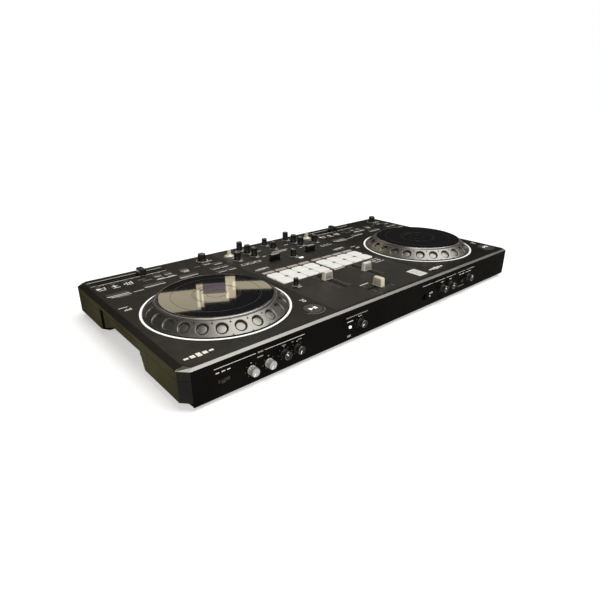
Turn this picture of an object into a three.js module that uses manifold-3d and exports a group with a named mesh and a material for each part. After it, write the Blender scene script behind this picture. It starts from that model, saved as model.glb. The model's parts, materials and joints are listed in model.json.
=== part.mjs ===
// Two-deck DJ controller: a moulded case with a bevelled top, two jog wheels, a mixer faceplate
// between them, sixteen pads, faders, knobs, paddles, and a front panel with its own row of knobs.
//
// Millimetres, +X right, +Y to the back, +Z up. Everything is drawn in plate coordinates, where
// z = 0 is the upper face of the top plate and (0, 0) is the middle of the case, and one group
// then stands the whole controller on z = 0 with its box centred on the origin.
import * as THREE from "three";
import Module from "manifold-3d";
import { mergeVertices } from "three/addons/utils/BufferGeometryUtils.js";

// ---------------------------------------------------------------- driving dimensions
const CASE = {
  halfWidth: 354,
  halfDepth: 174.6,
  cornerX: 11, // corner chamfer, along x and along y
  cornerY: 11.6,
  bevelSide: 9, // how far the top bevel reaches in from the sides, and from front and back
  bevelFront: 4,
  bevelDrop: 2.6,
  sideBottom: -42.5, // lower edge of the upright side walls
  underside: -48.5,
  undersideHalf: 343,
  wall: 3,
  split: -14, // seam between top case and bottom case
};
const FOOT = { height: 6, radius: 13, x: 296, y: 138 };
const GAP = 0.3; // clearance between neighbouring fixed pieces
const LIFT = 0.8; // knobs and caps clear the plate by this much
const PANEL_HALF = 343;
const FACEPLATE = { halfX: 116, halfY: 166, thickness: 3, ledge: 4 };

const JOG = {
  x: 230.15,
  y: -44.9,
  disc: 80,
  discTop: 18,
  shoulder: 82,
  shoulderTop: 16.5,
  rim: 100,
  hub: 12,
  segments: 48,
};
const JOG_RING = { inner: 101.2, outer: 104.4, top: 0.2 };
const JOG_TRAY = { inner: 104.8, outer: 107, floor: -9, thickness: 2, mouth: 30 };
const JOG_POST = { radius: 18, clearance: 0.4, top: -12, hubEnd: -34 };

const GRIP = { depth: 20, skin: 2.5, front: -74, back: 76, top: -25 };
const WAIST = { front: -65, back: 69, depth: 3.5, top: -8 }; // shallow inset of the side walls

const DECK_PITCH = 2 * JOG.x; // the right deck repeats the left one this far along x
const LEFT_PLAY = { x: -137, y: -141, radius: 13.8, height: 1.2 };
const LEFT_ENCODER = { x: -145, y: 146, radius: 8, height: 13 };
const TEMPO = { x: -278, y: 147.6, halfTravel: 46, recessX: 60, recessY: 6.5, recess: 1.2 };

const PAD = { width: 24.8, depth: 23.6, height: 0.8, pitchX: 26.3, pitchY: 25.1, y: -16 };
const PAD_GROUP_X = 54.6;
const PAD_WELL = { halfX: 53.2, halfY: 25.6 };

const SHAFT = { radius: 3, hole: 3.7, end: -13.6, sides: 12 };
const KNOB_SIDES = 12;
const MIXER_KNOBS = [
  // name, x, y, radius, height, shape
  ["gain_knob_1", -57, 157, 6, 16, "straight"],
  ["eq_high_knob_1", -57, 131, 6, 16, "straight"],
  ["eq_low_knob_1", -57, 108, 6, 16, "straight"],
  ["gain_knob_2", 57, 157, 6, 16, "straight"],
  ["eq_high_knob_2", 57, 131, 6, 16, "straight"],
  ["eq_low_knob_2", 57, 108, 6, 16, "straight"],
  ["master_level_knob", 0, 153, 5.5, 13.5, "straight"],
  ["booth_level_knob", 0, 124, 5.5, 13.5, "straight"],
  ["effect_depth_knob", -2, 60.6, 5.5, 13.5, "straight"],
  ["trim_knob_1", -94, 108, 6.2, 14.5, "straight"],
  ["trim_knob_2", 94, 108, 6.2, 14.5, "straight"],
  ["filter_knob_1", -95, 134, 8.5, 13, "flared"],
  ["filter_knob_2", 95, 134, 8.5, 13, "flared"],
  ["cue_mix_knob", -96, -57, 4.3, 12, "straight"],
];
const PADDLE = { x: 43, y: 64, width: 21, top: 11.5, pivot: -6, slotX: 12, slotY: 5.4 };
const CHANNEL = { x: 41, slotFront: -112, slotBack: -46, leftY: -70, rightY: -80.5 };
const CHANNEL_CAP = { width: 19, depth: 8, height: 14.5 };
const CROSS = { y: -142, half: 26, cap: { width: 9, depth: 18.5, height: 14.5 } };
const TEMPO_CAP = { width: 12, depth: 20, height: 10, leftX: -257, rightX: 185 };
const STEM = { long: 6, thin: 1.4, slot: 2.8, end: -13.6 };

const FRONT_KNOB = { radius: 6.2, length: 9.5, sides: 12 };
const FRONT_KNOBS = [
  // name, x, z, colour
  ["phones_mix_knob", -265.5, -29.8, "silver"],
  ["phones_level_knob", -240, -29.8, "silver"],
  ["mic_level_knob", -216, -25.6, "black"],
  ["mic_tone_knob", -194.5, -25.6, "black"],
  ["fader_curve_knob", -77, -26, "black"],
  ["aux_level_knob", 128, -26, "black"],
  ["aux_tone_knob", 152, -26, "black"],
  ["cue_level_knob", 209, -25, "black"],
];
const PHONES_JACK = { x: 79, z: -30, hole: 3.3, collar: 6, sleeve: 5.2, depth: 16, proud: 1.2 };

const RCA = { radius: 4.1, length: 9, xs: [120, 138, 190, 208, 260, 278], zs: [-20, -34] };
const USB = { width: 8.6, height: 8, wall: 1.2, depth: 14, xs: [-60, -30], z: -33 };
const DC_INLET = { x: -150, z: -34, hole: 4.7, sleeve: 6.4, depth: 13 };

const BOARD = {
  top: -24.4, thickness: 1.6, halfX: 108, front: -152, back: 164, wingX: 330, wingY: 112,
};
const POT = { half: 5.5, top: -14.4 };

// ---------------------------------------------------------------- geometry helpers
const wasm = await Module();
wasm.setup();

// A closed solid through outlines of equal length, given from the lowest to the highest.
function loft(sections) {
  const count = sections[0].outline.length;
  const places = sections.flatMap(({ outline, z }) => outline.flatMap(([x, y]) => [x, y, z]));
  const index = [];
  for (let s = 0; s + 1 < sections.length; s++) {
    for (let i = 0; i < count; i++) {
      const a = s * count + i;
      const b = s * count + ((i + 1) % count);
      index.push(a, b, b + count, a, b + count, a + count);
    }
  }
  const lid = ({ outline }) =>
    THREE.ShapeUtils.triangulateShape(outline.map(([x, y]) => new THREE.Vector2(x, y)), []);
  const upper = (sections.length - 1) * count;
  for (const [a, b, c] of lid(sections[0])) index.push(a, c, b);
  for (const [a, b, c] of lid(sections.at(-1))) index.push(a + upper, b + upper, c + upper);
  const geometry = new THREE.BufferGeometry();
  geometry.setAttribute("position", new THREE.Float32BufferAttribute(places, 3));
  return geometry.setIndex(index);
}

const prism = (outline, low, high) => loft([{ outline, z: low }, { outline, z: high }]);

// An outline in (y, z) drawn out along x.
function sidePrism(outline, low, high) {
  const turn = new THREE.Matrix4().makeBasis(
    new THREE.Vector3(0, 1, 0),
    new THREE.Vector3(0, 0, 1),
    new THREE.Vector3(1, 0, 0),
  );
  return prism(outline, low, high).applyMatrix4(turn);
}

const block = (x0, x1, y0, y1, z0, z1) =>
  new THREE.BoxGeometry(x1 - x0, y1 - y0, z1 - z0)
    .translate((x0 + x1) / 2, (y0 + y1) / 2, (z0 + z1) / 2);

// A solid of revolution about z, from a profile of [radius, z] points.
const turned = (profile, segments) =>
  new THREE.LatheGeometry(profile.map(([r, z]) => new THREE.Vector2(r, z)), segments)
    .rotateX(Math.PI / 2);

const rod = (radius, low, high, segments) =>
  turned([[0, low], [radius, low], [radius, high], [0, high]], segments);

// A rectangle with its four corners cut off, anticlockwise.
function chamfered(halfX, front, back, cutX, cutY = cutX) {
  return [
    [-halfX + cutX, front], [halfX - cutX, front], [halfX, front + cutY], [halfX, back - cutY],
    [halfX - cutX, back], [-halfX + cutX, back], [-halfX, back - cutY], [-halfX, front + cutY],
  ];
}
const chamferedBox = (w, d, cut) => chamfered(w / 2, -d / 2, d / 2, cut);

function solid(geometry) {
  const bare = new THREE.BufferGeometry();
  bare.setAttribute("position", geometry.getAttribute("position"));
  bare.setIndex(geometry.index);
  const merged = mergeVertices(bare, 1e-4);
  const vertProperties = new Float32Array(merged.getAttribute("position").array);
  const triVerts = new Uint32Array(merged.index.array);
  return new wasm.Manifold(new wasm.Mesh({ numProp: 3, vertProperties, triVerts }));
}
const joined = (...geometries) => geometries.map(solid).reduce((a, b) => a.add(b));
const without = (body, ...cuts) => cuts.map(solid).reduce((a, b) => a.subtract(b), body);

function surface(body) {
  const mesh = body.getMesh();
  const geometry = new THREE.BufferGeometry();
  geometry.setAttribute("position", new THREE.BufferAttribute(mesh.vertProperties, 3));
  geometry.setIndex(new THREE.BufferAttribute(mesh.triVerts, 1));
  geometry.computeVertexNormals();
  return geometry;
}

// ---------------------------------------------------------------- materials
const finish = (color, roughness, metalness = 0) =>
  new THREE.MeshStandardMaterial({ color, roughness, metalness });
const materials = {
  casing: () => finish(0x1a1917, 0.55),
  plate: () => finish(0x26231f, 0.4, 0.3),
  silver: () => finish(0xb4b4ae, 0.35, 0.8),
  rim: () => finish(0x6b665c, 0.35, 0.6),
  lens: () => finish(0xf2f2ee, 0.4),
  pad: () => finish(0xf0f0ea, 0.6),
  knob: () => finish(0x16161a, 0.5),
  cap: () => finish(0xb9b0a2, 0.5),
  cream: () => finish(0xe6e0cf, 0.5),
  board: () => finish(0x1f4a30, 0.6),
};

// ---------------------------------------------------------------- the assembly
const controller = new THREE.Group();

function add(name, shape, material, x = 0, y = 0, z = 0) {
  const geometry = shape.isBufferGeometry ? shape : surface(shape);
  const mesh = new THREE.Mesh(geometry, material());
  mesh.name = name;
  mesh.position.set(x, y, z);
  controller.add(mesh);
  return mesh;
}

const decks = [["left", 0], ["right", DECK_PITCH]];
const sides = [-1, 1];

// The outer form of the case, with the shallow waist in its side walls.
function envelope() {
  const { halfWidth, halfDepth, cornerX, cornerY } = CASE;
  const full = chamfered(halfWidth, -halfDepth, halfDepth, cornerX, cornerY);
  const innerX = halfWidth - CASE.bevelSide;
  const innerY = halfDepth - CASE.bevelFront;
  return without(
    solid(loft([
      { outline: chamfered(CASE.undersideHalf, -halfDepth, halfDepth, 1, cornerY), z: CASE.underside },
      { outline: full, z: CASE.sideBottom },
      { outline: full, z: -CASE.bevelDrop },
      { outline: chamfered(innerX, -innerY, innerY, 6.2, 11.2), z: 0 },
    ])),
    ...sides.map((side) => {
      const outer = side * (halfWidth + 1);
      const inner = side * (halfWidth - WAIST.depth);
      const [x0, x1] = [Math.min(outer, inner), Math.max(outer, inner)];
      return block(x0, x1, WAIST.front, WAIST.back, CASE.underside - 1, WAIST.top);
    }),
  );
}

// The room inside the case: its ceiling is the underside of the top plate.
function cavity() {
  const halfX = CASE.halfWidth - CASE.wall - WAIST.depth;
  const halfY = CASE.halfDepth - CASE.wall;
  const upper = chamfered(halfX, -halfY, halfY, CASE.cornerX, CASE.cornerY);
  const lower = chamfered(CASE.undersideHalf - CASE.wall, -halfY, halfY, 4, CASE.cornerY);
  return loft([
    { outline: lower, z: CASE.underside + CASE.wall },
    { outline: upper, z: CASE.sideBottom + CASE.wall },
    { outline: upper, z: -CASE.wall },
  ]);
}

// The hand grip under each side: an arch in the side wall that fingers reach up into.
function gripOutline(grow) {
  return [
    [GRIP.front - grow, CASE.underside - 2], [GRIP.back + grow, CASE.underside - 2],
    [GRIP.back + grow, CASE.sideBottom], [GRIP.back - 45 + grow, GRIP.top + grow],
    [GRIP.front + 7 - grow, GRIP.top + grow], [GRIP.front - grow, CASE.sideBottom],
  ];
}
function gripPrism(side, grow) {
  const outer = side * (CASE.halfWidth + 2);
  const inner = side * (CASE.halfWidth - GRIP.depth - grow);
  return sidePrism(gripOutline(grow), Math.min(outer, inner), Math.max(outer, inner));
}

const shellForm = envelope();
const shell = shellForm.subtract(solid(cavity()));
const panelDepth = CASE.halfDepth - CASE.wall;

// The silver strip: the bevel along the front edge and round its two corners.
const trimReach = CASE.halfDepth - CASE.cornerY - 2;
const plateOutline = (grow) => chamfered(
  CASE.halfWidth - CASE.bevelSide + grow,
  -(CASE.halfDepth - CASE.bevelFront + grow),
  CASE.halfDepth - CASE.bevelFront + grow,
  6.2, 11.2,
);
const bevelBand = solid(block(-360, 360, -180, -trimReach, -CASE.bevelDrop, 1))
  .subtract(solid(prism(plateOutline(0), -5, 2)));
add("front_trim", shellForm.intersect(bevelBand), materials.silver);

// ---------------------------------------------------------------- case parts
const panelSlots = [
  block(-PANEL_HALF, PANEL_HALF, -180, -panelDepth + GAP, -60, -CASE.bevelDrop + 0.01),
  block(-PANEL_HALF, PANEL_HALF, panelDepth - GAP, 180, -60, -CASE.bevelDrop - GAP),
];

function jogTray(x) {
  const { inner, outer, floor, thickness, mouth } = JOG_TRAY;
  return turned([
    [mouth, floor - thickness], [outer, floor - thickness], [outer, -CASE.wall + 1],
    [inner, -CASE.wall + 1], [inner, floor], [mouth, floor], [mouth, floor - thickness],
  ], JOG.segments).translate(x, JOG.y, 0);
}

function topCase() {
  let body = shell.intersect(solid(block(-360, 360, -180, 180, CASE.split + GAP / 2, 5)));
  const reach = { x: FACEPLATE.halfX, y: FACEPLATE.halfY };
  body = body.subtract(solid(block(-360, 360, -180, -trimReach + GAP, -CASE.bevelDrop - GAP, 1))
    .subtract(solid(prism(plateOutline(-GAP), -5, 2))));
  body = without(body, ...panelSlots);
  // Ledge that carries the faceplate.
  const ledge = solid(block(-reach.x - 3, reach.x + 3, -reach.y - 2, reach.y + 2, -6, -CASE.wall + 0.5))
    .subtract(solid(block(
      -reach.x + FACEPLATE.ledge, reach.x - FACEPLATE.ledge,
      -reach.y + FACEPLATE.ledge, reach.y - FACEPLATE.ledge, -7, 0,
    )));
  body = body.add(ledge);
  body = without(body, block(-reach.x, reach.x, -reach.y, reach.y, -CASE.wall - GAP, 2));
  for (const side of sides) {
    const mouth = rod(JOG_TRAY.inner, -CASE.wall - 1, 2, JOG.segments).translate(side * JOG.x, JOG.y, 0);
    body = without(body, mouth).add(solid(jogTray(side * JOG.x)));
  }
  for (const [, dx] of decks) {
    const { x, y, recessX, recessY, recess, halfTravel } = TEMPO;
    const slot = halfTravel + STEM.long / 2 + 1;
    body = without(
      body,
      block(x + dx - recessX, x + dx + recessX, y - recessY, y + recessY, -recess, 2),
      block(x + dx - slot, x + dx + slot, y - STEM.slot / 2, y + STEM.slot / 2, -8, 2),
      rod(LEFT_PLAY.radius + 0.6, -8, 2, 24).translate(LEFT_PLAY.x + dx, LEFT_PLAY.y, 0),
      rod(SHAFT.hole, -8, 2, SHAFT.sides).translate(LEFT_ENCODER.x + dx, LEFT_ENCODER.y, 0),
    );
  }
  return body;
}
add("top_case", topCase(), materials.casing);

function bottomCase() {
  let body = shell.intersect(solid(block(-360, 360, -180, 180, -60, CASE.split - GAP / 2)));
  for (const side of sides) {
    const skin = solid(gripPrism(side, GRIP.skin)).intersect(shellForm);
    body = body.add(skin).subtract(solid(gripPrism(side, 0)));
  }
  body = without(body, ...panelSlots);
  const floor = CASE.underside + CASE.wall - 0.5;
  for (const side of sides) {
    const post = joined(rod(JOG_POST.radius, floor, JOG_POST.top, 24)).subtract(
      solid(rod(JOG.hub + JOG_POST.clearance, CASE.underside + CASE.wall, 0, JOG.segments)));
    body = body.add(post.translate([side * JOG.x, JOG.y, 0]));
    for (const end of sides) {
      const foot = rod(FOOT.radius, CASE.underside - FOOT.height, CASE.underside + 1, 20);
      body = body.add(solid(foot.translate(side * FOOT.x, end * FOOT.y, 0)));
      const stud = rod(3.5, floor, BOARD.top - BOARD.thickness - GAP, 8);
      body = body.add(solid(stud.translate(side * 98, end * 135, 0)));
    }
    const outboard = rod(3.5, floor, BOARD.top - BOARD.thickness - GAP, 8);
    body = body.add(solid(outboard.translate(side * 290, 135, 0)));
  }
  return body;
}
add("bottom_case", bottomCase(), materials.casing);

// ---------------------------------------------------------------- front and rear panels
const panelTop = -CASE.bevelDrop - GAP;
const panelHalf = PANEL_HALF - GAP;
const alongFront = (geometry, x, z) => geometry.rotateX(Math.PI / 2).translate(x, 0, z);

function frontPanel() {
  const jack = PHONES_JACK;
  let body = joined(
    block(-panelHalf, panelHalf, -CASE.halfDepth, -panelDepth, CASE.underside, panelTop),
    alongFront(rod(jack.collar, panelDepth + 1, CASE.halfDepth + jack.proud, 20), jack.x, jack.z),
    alongFront(rod(jack.sleeve, panelDepth - jack.depth, panelDepth + 1, 20), jack.x, jack.z),
  );
  body = without(
    body,
    alongFront(rod(jack.hole, panelDepth - jack.depth + 2, 200, 20), jack.x, jack.z),
    ...FRONT_KNOBS.map(([, x, z]) => alongFront(rod(SHAFT.hole, 160, 200, SHAFT.sides), x, z)),
  );
  return body;
}
add("front_panel", frontPanel(), materials.casing);

function rearPanel() {
  const sleeve = (x, z, halfX, halfZ, y0, y1) => block(x - halfX, x + halfX, y0, y1, z - halfZ, z + halfZ);
  const back = CASE.halfDepth;
  const outwards = (geometry, x, z) => geometry.rotateX(-Math.PI / 2).translate(x, 0, z);
  const { width, height, wall, depth } = USB;
  const dc = DC_INLET;
  const body = joined(
    block(-panelHalf, panelHalf, panelDepth, back, CASE.underside, panelTop - GAP),
    outwards(rod(dc.sleeve, back - dc.depth - 2, back, 20), dc.x, dc.z),
    ...USB.xs.map((x) =>
      sleeve(x, USB.z, width / 2 + wall, height / 2 + wall, back - depth - wall, panelDepth + 1)),
    ...RCA.xs.flatMap((x) => RCA.zs.map((z) =>
      outwards(rod(RCA.radius, panelDepth + 1, back + RCA.length, 12), x, z))),
  );
  return without(
    body,
    outwards(rod(dc.hole, back - dc.depth, back + 5, 20), dc.x, dc.z),
    ...USB.xs.map((x) => sleeve(x, USB.z, width / 2, height / 2, back - depth, back + 5)),
  );
}
add("rear_panel", rearPanel(), materials.casing);

// ---------------------------------------------------------------- faceplate and control board
const padCentres = sides.flatMap((side) =>
  [0, 1].flatMap((row) =>
    [0, 1, 2, 3].map((column) => ({
      name: `${side < 0 ? "left" : "right"}_pad_${row * 4 + column + 1}`,
      x: side * PAD_GROUP_X + (column - 1.5) * PAD.pitchX,
      y: PAD.y + (0.5 - row) * PAD.pitchY,
    }))));

function faceplate() {
  const { halfX, halfY, thickness } = FACEPLATE;
  let body = solid(block(-halfX + GAP, halfX - GAP, -halfY + GAP, halfY - GAP, -thickness, 0));
  body = without(
    body,
    ...MIXER_KNOBS.map(([, x, y]) => rod(SHAFT.hole, -9, 2, SHAFT.sides).translate(x, y, 0)),
    ...sides.flatMap((side) => [
      block(
        side * PAD_GROUP_X - PAD_WELL.halfX, side * PAD_GROUP_X + PAD_WELL.halfX,
        PAD.y - PAD_WELL.halfY, PAD.y + PAD_WELL.halfY, -9, 2,
      ),
      block(
        side * PADDLE.x - PADDLE.slotX, side * PADDLE.x + PADDLE.slotX,
        PADDLE.y - PADDLE.slotY, PADDLE.y + PADDLE.slotY, -9, 2,
      ),
      block(
        side * CHANNEL.x - STEM.slot / 2, side * CHANNEL.x + STEM.slot / 2,
        CHANNEL.slotFront, CHANNEL.slotBack, -9, 2,
      ),
    ]),
    block(-CROSS.half, CROSS.half, CROSS.y - STEM.slot / 2, CROSS.y + STEM.slot / 2, -9, 2),
  );
  return body;
}
add("mixer_faceplate", faceplate(), materials.plate);

function controlBoard() {
  const { top, thickness, halfX, front, back, wingX, wingY } = BOARD;
  const under = top - thickness;
  const pots = MIXER_KNOBS.map(([, x, y]) => [x, y]);
  for (const [, dx] of decks) pots.push([LEFT_ENCODER.x + dx, LEFT_ENCODER.y]);
  const faderBody = (x, y, halfLong, halfWide) =>
    block(x - halfLong, x + halfLong, y - halfWide, y + halfWide, under + 0.4, POT.top);
  return joined(
    block(-halfX, halfX, front, back, under, top),
    block(-wingX, wingX, wingY, back, under, top),
    ...pots.map(([x, y]) =>
      block(x - POT.half, x + POT.half, y - POT.half, y + POT.half, under + 0.4, POT.top)),
    ...sides.map((side) => faderBody(side * CHANNEL.x, -79, 6, 42)),
    faderBody(0, CROSS.y, 38, 6),
    ...decks.map(([, dx]) => faderBody(TEMPO.x + dx, TEMPO.y, 52, 6)),
  );
}
add("control_board", controlBoard(), materials.board);

// ---------------------------------------------------------------- jog wheels and their light rings
function jogWheel() {
  const { disc, discTop, shoulder, shoulderTop, rim, hub } = JOG;
  return turned([
    [0, JOG_POST.hubEnd], [hub, JOG_POST.hubEnd], [hub, 13], [disc - 4, 13], [rim - 5, 0.8],
    [rim, 0.8], [rim, 1.6], [shoulder, shoulderTop], [disc + 0.6, shoulderTop + 0.5],
    [disc, discTop], [0, discTop],
  ], JOG.segments);
}
function jogRing() {
  const { inner, outer, top } = JOG_RING;
  const low = JOG_TRAY.floor + GAP;
  return turned([[inner, low], [outer, low], [outer, top], [inner, top], [inner, low]], JOG.segments);
}
for (const [side, dx] of decks) {
  add(`${side}_jog_light_ring`, jogRing(), materials.lens, -JOG.x + dx, JOG.y);
  add(`${side}_jog_wheel`, jogWheel(), materials.rim, -JOG.x + dx, JOG.y);
}

// ---------------------------------------------------------------- knobs
function knobProfile(radius, height, shape) {
  const foot = [[0, SHAFT.end], [SHAFT.radius, SHAFT.end], [SHAFT.radius, LIFT]];
  const body = shape === "flared"
    ? [[radius, LIFT], [radius, 2], [radius * 0.45, 5.5], [radius * 0.4, height - 1]]
    : [[radius, LIFT], [radius * 0.92, height - 0.8]];
  const crown = shape === "flared" ? radius * 0.32 : radius * 0.8;
  return [...foot, ...body, [crown, height], [0, height]];
}
for (const [name, x, y, radius, height, shape] of MIXER_KNOBS) {
  const material = shape === "flared" ? materials.cream : materials.knob;
  add(name, turned(knobProfile(radius, height, shape), KNOB_SIDES), material, x, y);
}
for (const [side, dx] of decks) {
  const { x, y, radius, height } = LEFT_ENCODER;
  const profile = knobProfile(radius, height, "straight");
  add(`${side}_browse_encoder`, turned(profile, KNOB_SIDES), materials.knob, x + dx, y);
}
for (const [name, x, z, colour] of FRONT_KNOBS) {
  const { radius, length, sides: count } = FRONT_KNOB;
  const face = CASE.halfDepth + LIFT;
  const profile = [
    [0, face - 16], [SHAFT.radius, face - 16], [SHAFT.radius, face], [radius, face],
    [radius * 0.94, face + length - 0.8], [radius * 0.84, face + length], [0, face + length],
  ];
  const material = colour === "silver" ? materials.silver : materials.knob;
  add(name, alongFront(turned(profile, count), x, z), material);
}

// ---------------------------------------------------------------- fader caps
// A cap narrows to its waist and flares again at its finger top; its thin stem runs in the slot.
function faderCap({ width, depth, height }, alongX) {
  const section = (scale, z) => ({ outline: chamferedBox(width * scale, depth * scale, 1), z });
  const cap = solid(loft([
    section(1, LIFT), section(0.94, height * 0.55), section(0.86, height - 0.8), section(0.78, height),
  ]));
  const [halfX, halfY] = alongX
    ? [STEM.long / 2, STEM.thin / 2]
    : [STEM.thin / 2, STEM.long / 2];
  return cap.add(solid(block(-halfX, halfX, -halfY, halfY, STEM.end, LIFT + 1)));
}
add("left_channel_fader_cap", faderCap(CHANNEL_CAP, false), materials.cap, -CHANNEL.x, CHANNEL.leftY);
add("right_channel_fader_cap", faderCap(CHANNEL_CAP, false), materials.cap, CHANNEL.x, CHANNEL.rightY);
add("crossfader_cap", faderCap(CROSS.cap, true), materials.cream, 0, CROSS.y);
add("left_tempo_fader_cap", faderCap(TEMPO_CAP, true), materials.knob, TEMPO_CAP.leftX, TEMPO.y);
add("right_tempo_fader_cap", faderCap(TEMPO_CAP, true), materials.knob, TEMPO_CAP.rightX, TEMPO.y);

// ---------------------------------------------------------------- pads, buttons, paddles
for (const { name, x, y } of padCentres) {
  const outline = chamferedBox(PAD.width, PAD.depth, 2.4);
  const crown = chamferedBox(PAD.width - 0.8, PAD.depth - 0.8, 2.4);
  const pad = loft([{ outline, z: -2.6 }, { outline, z: 0.3 }, { outline: crown, z: PAD.height }]);
  add(name, pad, materials.pad, x, y);
}
for (const [side, dx] of decks) {
  const { x, y, radius, height } = LEFT_PLAY;
  const profile = [[0, -3], [radius, -3], [radius, height - 0.5], [radius - 0.7, height], [0, height]];
  add(`${side}_play_button`, turned(profile, 24), materials.knob, x + dx, y);
}
function paddle() {
  const { width, top, pivot } = PADDLE;
  const section = (w, d, z) => ({ outline: chamferedBox(w, d, Math.min(1, d / 4)), z });
  return joined(
    loft([
      section(width * 0.8, 3.6, LIFT), section(width, 7, 5), section(width, 10.5, top - 1.5),
      section(width - 1.5, 8.5, top),
    ]),
    block(-6, 6, -1.6, 1.6, pivot - 1.5, LIFT + 1),
    new THREE.CylinderGeometry(2.2, 2.2, 14, 12).rotateZ(Math.PI / 2).translate(0, 0, pivot),
  );
}
for (const side of sides) {
  const name = `${side < 0 ? "left" : "right"}_effect_paddle`;
  add(name, paddle(), materials.knob, side * PADDLE.x, PADDLE.y);
}

// Stand the controller on its feet, with its box centred on the origin.
const frontTip = -(CASE.halfDepth + LIFT + FRONT_KNOB.length);
const rearTip = CASE.halfDepth + RCA.length;
controller.position.set(0, -(frontTip + rearTip) / 2, FOOT.height - CASE.underside);
const part = new THREE.Group();
part.add(controller);

export default part;
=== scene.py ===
"""A two-deck DJ controller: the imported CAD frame, dressed with detailed pieces and materials.

Lengths in the tables are millimetres in plate coordinates: x and y from the middle of the case,
z from the upper face of the top plate. at() turns them into the frame's metres.
"""

import json
import math

import bmesh
import bpy
from mathutils import Euler, Matrix, Vector


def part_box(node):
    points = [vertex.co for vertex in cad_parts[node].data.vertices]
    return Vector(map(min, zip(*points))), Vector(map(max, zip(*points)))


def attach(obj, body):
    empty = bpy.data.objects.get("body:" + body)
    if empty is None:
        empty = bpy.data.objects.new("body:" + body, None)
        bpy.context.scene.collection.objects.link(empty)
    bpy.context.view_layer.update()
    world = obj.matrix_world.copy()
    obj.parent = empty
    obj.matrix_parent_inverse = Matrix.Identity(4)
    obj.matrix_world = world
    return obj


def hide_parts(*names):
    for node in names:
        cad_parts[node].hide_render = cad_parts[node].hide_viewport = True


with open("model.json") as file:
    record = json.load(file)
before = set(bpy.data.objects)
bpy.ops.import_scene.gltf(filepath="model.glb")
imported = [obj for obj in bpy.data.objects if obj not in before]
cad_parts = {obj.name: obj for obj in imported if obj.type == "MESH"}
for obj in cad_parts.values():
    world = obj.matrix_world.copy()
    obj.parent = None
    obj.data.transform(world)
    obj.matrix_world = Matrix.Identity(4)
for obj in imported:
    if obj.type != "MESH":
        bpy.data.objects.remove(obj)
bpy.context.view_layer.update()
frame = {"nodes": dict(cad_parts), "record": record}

MM = 0.001
CASE_BODY = "case"
case_low, case_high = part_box("top_case")
PLATE_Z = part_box("mixer_faceplate")[1][2]
MID_Y = (case_low[1] + case_high[1]) / 2
HALF_DEPTH = (case_high[1] - case_low[1]) / 2 / MM
UNDERSIDE = (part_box("front_panel")[0][2] - PLATE_Z) / MM
FLOOR = -PLATE_Z / MM


def at(x, y, z=0.0):
    """Plate millimetres to frame metres."""
    return Vector((x * MM, MID_Y + y * MM, PLATE_Z + z * MM))


def centre(node):
    """The middle of a CAD node in plate millimetres, x and y only."""
    low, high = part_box(node)
    return (low[0] + high[0]) / 2 / MM, ((low[1] + high[1]) / 2 - MID_Y) / MM


def size(node):
    """The extents of a CAD node in millimetres."""
    low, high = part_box(node)
    return [(b - a) / MM for a, b in zip(low, high)]


def top_of(node):
    """How high a CAD node reaches over the plate, in millimetres."""
    return (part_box(node)[1][2] - PLATE_Z) / MM


JOG_X, JOG_Y = centre("right_jog_wheel")
DECK_PITCH = 2 * JOG_X
DECKS = (("left", -JOG_X, 0.0), ("right", JOG_X, DECK_PITCH))
SIDES = (("left", -1), ("right", 1))
INK = (0.02, 0.12)  # the print's lower and upper faces over the surface it lies on


# ---------------------------------------------------------------- node materials
class Graph:
    """A small helper round one material's node tree."""

    def __init__(self, name):
        self.material = bpy.data.materials.new(name)
        self.material.use_nodes = True
        self.tree = self.material.node_tree
        self.shader = self.tree.nodes["Principled BSDF"]
        self.coords = self.tree.nodes.new("ShaderNodeTexCoord").outputs["Object"]

    def node(self, kind, **inputs):
        made = self.tree.nodes.new("ShaderNode" + kind)
        for key, value in inputs.items():
            name = key.replace("_", " ").title()
            if hasattr(value, "is_linked"):
                self.tree.links.new(value, made.inputs[name])
            else:
                made.inputs[name].default_value = value
        return made

    def noise(self, scale, detail=3.0, stretch=None, roughness=0.5):
        coords = self.coords
        if stretch:
            coords = self.node("Mapping", Vector=self.coords, Scale=stretch).outputs["Vector"]
        made = self.node("TexNoise", Vector=coords, Scale=scale, Detail=detail, Roughness=roughness)
        return made.outputs["Fac"]

    def ramp(self, factor, stops):
        made = self.tree.nodes.new("ShaderNodeValToRGB")
        self.tree.links.new(factor, made.inputs["Fac"])
        elements = made.color_ramp.elements
        while len(elements) < len(stops):
            elements.new(0.5)
        for element, (place, color) in zip(elements, stops):
            element.position = place
            element.color = (*color, 1.0)
        return made.outputs["Color"]

    def range(self, factor, low, high, start=0.3, stop=0.7):
        made = self.tree.nodes.new("ShaderNodeMapRange")
        self.tree.links.new(factor, made.inputs["Value"])
        for name, value in zip(("From Min", "From Max", "To Min", "To Max"), (start, stop, low, high)):
            made.inputs[name].default_value = value
        return made.outputs["Result"]

    def bump(self, height, distance, strength=1.0):
        made = self.tree.nodes.new("ShaderNodeBump")
        made.inputs["Distance"].default_value = distance
        made.inputs["Strength"].default_value = strength
        self.tree.links.new(height, made.inputs["Height"])
        self.tree.links.new(made.outputs["Normal"], self.shader.inputs["Normal"])

    def set(self, **values):
        for key, value in values.items():
            socket = self.shader.inputs[key.replace("_", " ")]
            if hasattr(value, "is_linked"):
                self.tree.links.new(value, socket)
            else:
                socket.default_value = value
        return self


def shade(color, factor):
    return tuple(min(1.0, c * factor) for c in color)


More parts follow.
